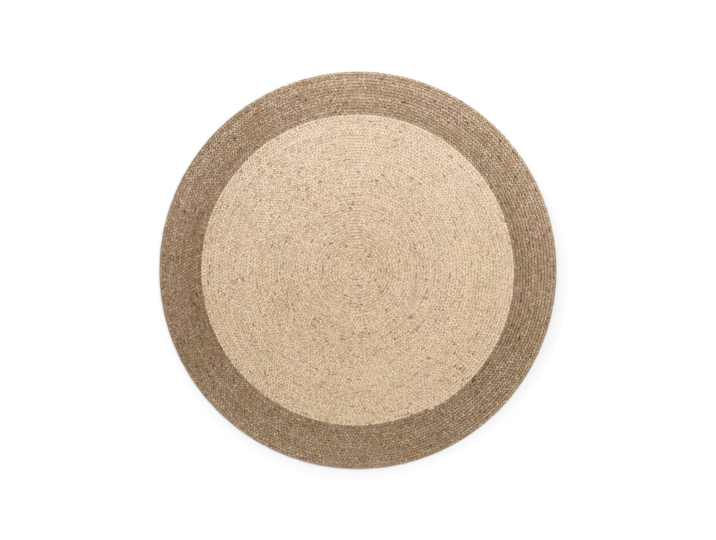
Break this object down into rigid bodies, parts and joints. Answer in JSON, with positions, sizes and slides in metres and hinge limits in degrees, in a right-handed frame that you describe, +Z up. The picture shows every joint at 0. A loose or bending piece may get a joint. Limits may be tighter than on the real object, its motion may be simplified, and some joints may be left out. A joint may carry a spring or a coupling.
{
  "type": "round jute rug",
  "caption": "Flat round rug of coiled three-strand jute plait, cream centre with a wide taupe border.",
  "frame": {"origin": "centre of the rug's underside, on the floor", "axes": "+Z up through the rug's thickness; +Y is the top of the rug as it is pictured from above"},
  "size_m": [1.5, 1.5, 0.008],
  "materials": {
    "natural_jute": "matte plaited natural jute, cream to straw",
    "taupe_jute": "matte plaited dyed jute, taupe brown with paler tips"
  },
  "bodies": {
    "root": {"natural_coil": "natural_jute", "taupe_coil": "taupe_jute"}
  },
  "joints": []
}
